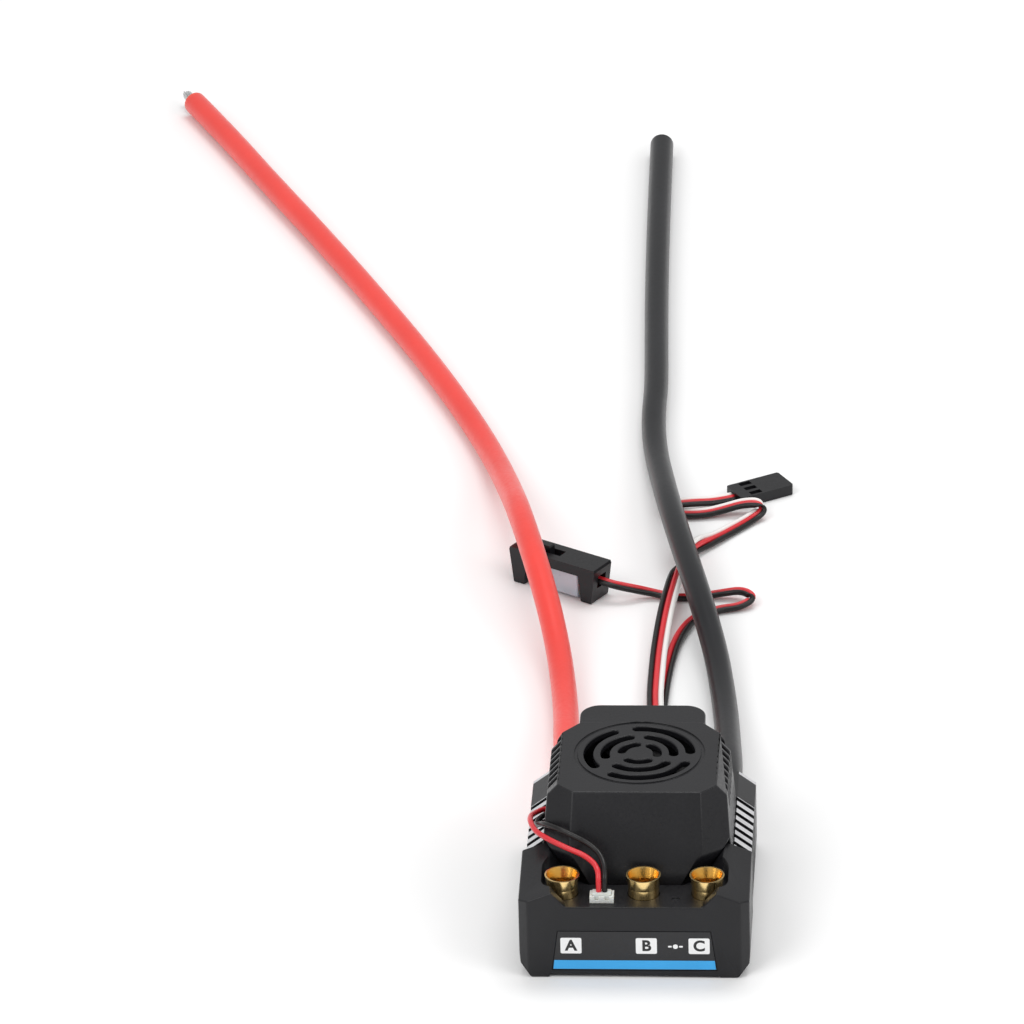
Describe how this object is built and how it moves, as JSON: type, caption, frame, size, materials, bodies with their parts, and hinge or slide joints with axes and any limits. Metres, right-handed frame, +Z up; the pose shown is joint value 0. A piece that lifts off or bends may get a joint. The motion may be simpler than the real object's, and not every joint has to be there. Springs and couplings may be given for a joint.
{
  "type": "electronic speed controller",
  "caption": "Brushless motor speed controller in a finned case with a cooling fan, three bullet sockets, battery leads, a receiver lead and a switch.",
  "frame": {"origin": "centre of the base plate underside, midway between the sides and 30 mm behind the label face", "axes": "+Z up through the fan, -Y towards the label face, +X to the right seen from the label"},
  "size_m": [0.1633, 0.4508, 0.034],
  "materials": {
    "black_plastic": "moulded nylon, fine satin texture",
    "shroud_plastic": "moulded nylon, satin",
    "fan_plastic": "moulded glass-filled plastic",
    "black_aluminium": "black anodised, bright where the fin edges are cut",
    "steel": "zinc plated",
    "bronze": "sintered",
    "magnet": "bonded ferrite",
    "gold_plate": "gold plated, polished",
    "circuit_board": "solder mask",
    "chip_epoxy": "moulded epoxy",
    "pad_rubber": "soft silicone gap pad",
    "ferrite": "sintered",
    "tinned_copper": "tinned",
    "capacitor_can": "sleeved can",
    "led_lens": "clear acrylic",
    "white_nylon": "natural nylon",
    "label_film": "printed polyester film",
    "black_rubber": "moulded",
    "black_silicone": "satin silicone insulation",
    "red_silicone": "satin silicone insulation",
    "red_pvc": "extruded PVC insulation",
    "black_pvc": "extruded PVC insulation",
    "clear_plastic": "translucent moulding"
  },
  "bodies": {
    "controller": {"base_plate": "black_plastic", "case_screws": "steel", "heatsink_case": "black_aluminium", "front_cover": "black_plastic", "label_plate": "label_film", "fan_shroud": "shroud_plastic", "fan_frame": "fan_plastic", "fan_screws": "steel", "fan_bearing": "bronze", "fan_stator": "steel", "phase_socket_a": "gold_plate", "phase_socket_b": "gold_plate", "phase_socket_c": "gold_plate", "power_board": "circuit_board", "mosfets": "chip_epoxy", "thermal_pad": "pad_rubber", "control_board": "circuit_board", "board_screws": "steel", "control_chips": "chip_epoxy", "bec_inductor": "ferrite", "board_pins": "tinned_copper", "bus_capacitors": "capacitor_can", "capacitor_legs": "tinned_copper", "status_led": "led_lens", "led_light_pipe": "led_lens", "fan_header": "white_nylon", "fan_header_pins": "tinned_copper", "fan_plug": "white_nylon", "lead_grommets": "black_rubber", "lead_tails": "black_silicone", "battery_lead_red": "red_silicone", "battery_lead_black": "black_silicone", "lead_tip_red": "tinned_copper", "lead_tip_black": "tinned_copper", "cable_grommet": "black_rubber", "servo_cable": "red_pvc", "switch_cable": "red_pvc", "servo_plug": "black_plastic", "servo_contacts": "gold_plate", "switch_bracket": "black_plastic", "switch_body": "clear_plastic", "fan_wire_red": "red_pvc", "fan_wire_black": "black_pvc"},
    "fan_wheel": {"fan_rotor": "fan_plastic", "fan_magnet": "magnet", "fan_shaft": "steel"},
    "switch_knob": {"switch_slider": "black_plastic"}
  },
  "joints": [
    {"name": "fan_spin", "type": "hinge", "parent": "controller", "child": "fan_wheel", "pos_m": [0, 0.0089, 0.0265], "axis": [0, 0, 1], "continuous": true},
    {"name": "switch_slide", "type": "slide", "parent": "controller", "child": "switch_knob", "axis": [0.848, -0.5299, 0], "range_m": [0, 0.002]}
  ]
}
